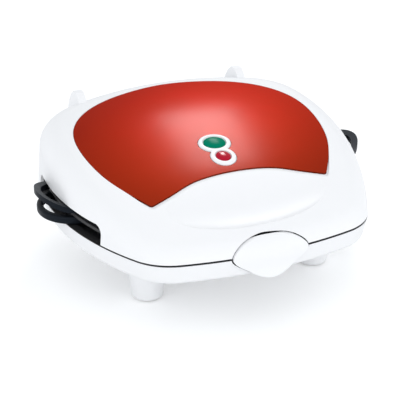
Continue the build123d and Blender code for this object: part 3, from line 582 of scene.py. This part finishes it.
@dataclass
class Housing(SubAssembly):
    """White shells, red panel, feet, screws, hinge pins and the rear inlet."""

    def build(self) -> None:
        """Dress the outer shells and what is fixed to them."""
        self.dress(WHITE_SHELL, "lid_shell", "base_shell")
        self.dress(RUBBER, "foot_pads", "cord_gland")
        self.dress(STEEL, "lid_screws", "base_screws", "hinge_pins")
        self.dress(RED_PANEL, "top_panel")


@dataclass
class Fastening(SubAssembly):
    """The front latch with its pin and keeper."""

    def build(self) -> None:
        """Dress the latch and its metal parts."""
        self.dress(WHITE_SHELL, "latch")
        self.dress(STEEL, "latch_pin", "latch_keeper")


@dataclass
class CookingPlates(SubAssembly):
    """The two removable plates, the frames that carry them and their clips."""

    def build(self) -> None:
        """Dress plates, frames and clips."""
        self.dress(NONSTICK, "upper_plate", "lower_plate")
        self.dress(BLACK_FRAME, "lid_frame", "base_frame", "upper_clip", "lower_clip")


@dataclass
class Heating(SubAssembly):
    """Elements, reflectors, controls and inner wiring."""

    def build(self) -> None:
        """Dress everything that heats or feeds the heat."""
        self.dress(ELEMENT, "upper_element", "lower_element")
        self.dress(REFLECTOR, "upper_reflector", "lower_reflector")
        self.dress(STEEL, "thermostat")
        self.dress(CREAM_BLOCK, "terminal_block", "thermal_fuse")
        self.dress(LEAD_SLEEVE, "base_leads")


@dataclass
class PilotLights(SubAssembly):
    """Green and red lights in their shared white surround, on the lid's crown.

    *_half are an oval's half axes. The surround's rows run inwards from its rim: first over rim_share
    of the reach, close together at the rim, and then evenly over inner_share. A lens's rows stop at
    the angle lens_pole from its top, and ring_around and lens_around count the points of each row.
    """

    green_y: float = -15.75 * MM
    green_half: tuple[float, float] = (8.5 * MM, 7.15 * MM)
    red_y: float = -32.1 * MM
    red_half: tuple[float, float] = (5.6 * MM, 5.6 * MM)
    ring_rear_half: tuple[float, float] = (12.6 * MM, 10.5 * MM)
    ring_front_half: tuple[float, float] = (9.7 * MM, 9.7 * MM)
    waist_y: float = -24.3 * MM
    ring_proud: float = 1.0 * MM
    ring_depth: float = 1.2 * MM
    ring_middle_depth: float = 2.4 * MM
    ring_edge: float = 2.2 * MM
    ring_power: float = 12.0
    rim_share: float = 0.18
    inner_share: tuple[float, float] = (0.19, 0.985)
    rim_rows: int = 12
    inner_rows: int = 120
    well_gap: float = 0.5 * MM
    well_depth: float = 1.6 * MM
    lens_rim: float = 0.25 * MM
    lens_proud: float = 1.7 * MM
    lens_depth: float = 4.2 * MM
    lens_power: float = 0.6
    lens_pole: float = 0.02
    lens_rows: int = 40
    crown_top: float = 107.8 * MM
    crown_top_y: float = 75.0 * MM
    crown_radius_y: float = 400.0 * MM
    crown_radius_x: float = 709.0 * MM
    ring_around: int = 288
    lens_around: int = 96

    def build(self) -> None:
        """Build the surround and both lenses, and dress the lamps under them."""
        self.stand_in(self.make_ring(), WHITE_SHELL, "white_shell", "lid", "indicator_bezel")
        green = self.make_lens("green_light_dome", self.green_y, self.green_half)
        self.stand_in(green, GREEN_LENS, "green_lens", "lid", "green_lens")
        red = self.make_lens("red_light_dome", self.red_y, self.red_half)
        self.stand_in(red, RED_LENS, "red_lens", "lid", "red_lens")
        self.dress(CREAM_BLOCK, "lamp_holder")
        self.dress(LAMP_GLASS, "neon_lamps")

    def crown(self, x: Grid, y: Grid) -> Grid:
        """Height of the lid's crown: an arc over y, swung about a line along Y far below.

        With r(y) the arc's height over that line, the height over a point is sqrt(r(y)^2 - x^2).

        Args:
            x: places across.
            y: places along.

        Returns:
            The heights over the table.
        """
        line = self.crown_top - self.crown_radius_x
        rise = np.sqrt(self.crown_radius_y**2 - (y - self.crown_top_y)**2)
        arc = self.crown_top - self.crown_radius_y + rise
        return line + np.sqrt((arc - line)**2 - x**2)

    def far_reach(self, angle: Grid, middle_y: float, half: tuple[float, float]) -> Grid:
        """Distance from the waist to the far side of an ellipse, along each angle.

        It is the larger root t of ((t cos a) / p)^2 + ((w + t sin a - m) / q)^2 = 1, for an ellipse
        with half axes p and q whose middle lies at m, seen from the waist w.

        Args:
            angle: the angles a.
            middle_y: where the ellipse's middle m lies.
            half: its half axes p and q.

        Returns:
            The distances t.
        """
        across, along = np.cos(angle) / half[0], np.sin(angle) / half[1]
        offset = (self.waist_y - middle_y) / half[1]
        square = across**2 + along**2
        root = np.sqrt(along**2 * offset**2 - square * (offset**2 - 1.0))
        return (root - along * offset) / square

    def well(self, x: Grid, y: Grid, middle_y: float, half: tuple[float, float]) -> Grid:
        """1 inside a lens's well and 0 outside it, with a smooth wall about one gap round its oval."""
        away = (np.hypot(x / half[0], (y - middle_y) / half[1]) - 1.0) * min(half)
        return 1.0 - smooth_step(away, self.well_gap * 0.5, self.well_gap * 1.5)

    def make_ring(self) -> bpy.types.Object:
        """Figure-of-eight surround: a pillow with a rounded rim and a well for each lens.

        The outline is the smooth maximum (r1^p + r2^p)^(1/p) of the reaches of both ovals from the
        waist, with the ring's power p. At distance d from the rim the height is
        crown + proud * sqrt(1 - (1 - d/e)^2) within the edge e, less the wells' depth.

        Returns:
            The surround.
        """
        angle = np.linspace(0.0, 2.0 * np.pi, self.ring_around, endpoint=False)
        rear = self.far_reach(angle, self.green_y, self.ring_rear_half)
        front = self.far_reach(angle, self.red_y, self.ring_front_half)
        longest = np.maximum(rear, front)
        power = self.ring_power
        reach = longest * ((rear / longest)**power + (front / longest)**power)**(1.0 / power)
        rim = self.rim_share * (1.0 - np.cos(np.linspace(0.0, 0.5 * np.pi, self.rim_rows)))
        share = 1.0 - np.concatenate([rim, np.linspace(*self.inner_share, self.inner_rows)])[:, None]
        x = share * reach * np.cos(angle)
        y = self.waist_y + share * reach * np.sin(angle)
        inward = np.clip((1.0 - share) * reach / self.ring_edge, 0.0, 1.0)
        rise = self.ring_proud * np.sqrt(1.0 - (1.0 - inward)**2)
        wells = np.maximum(self.well(x, y, self.green_y, self.green_half),
                           self.well(x, y, self.red_y, self.red_half))
        top = np.stack([x, y, self.crown(x, y) + rise - self.well_depth * wells], axis=-1)
        below = np.stack([x[:1], y[:1], self.crown(x[:1], y[:1]) - self.ring_depth], axis=-1)
        inner = np.stack([x[-1:], y[-1:], self.crown(x[-1:], y[-1:]) - self.ring_middle_depth], axis=-1)
        return ring_surface("light_surround", np.concatenate([inner, below, top]))

    def make_lens(self, name: str, middle_y: float, half: tuple[float, float]) -> bpy.types.Object:
        """Domed lens.

        Over share s of its oval it stands rim + (proud - rim) * (1 - s^2)^p over the crown, with the
        lens's power p.

        Args:
            name: the object's name.
            middle_y: where its middle lies.
            half: its half axes.

        Returns:
            The lens, with a straight wall down to its seat.
        """
        angle = np.linspace(0.0, 2.0 * np.pi, self.lens_around, endpoint=False)
        share = np.sin(np.linspace(0.5 * np.pi, self.lens_pole, self.lens_rows))[:, None]
        x = share * half[0] * np.cos(angle)
        y = middle_y + share * half[1] * np.sin(angle)
        rise = self.lens_rim + (self.lens_proud - self.lens_rim) * (1.0 - share**2)**self.lens_power
        dome = np.stack([x, y, self.crown(x, y) + rise], axis=-1)
        seat = np.stack([x[:1], y[:1], self.crown(x[:1], y[:1]) - self.lens_depth], axis=-1)
        return ring_surface(name, np.concatenate([seat, dome]))


def main() -> None:
    """Load the frame, dress each sub-assembly, and set up the studio."""
    logging.basicConfig(level=logging.INFO, format="%(name)s: %(message)s")
    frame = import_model()
    Studio().build()
    paints = Paintbox()
    for unit in (Housing, Fastening, CookingPlates, Heating, PilotLights):
        unit(frame, paints).build()


if __name__ == "__main__":
    main()
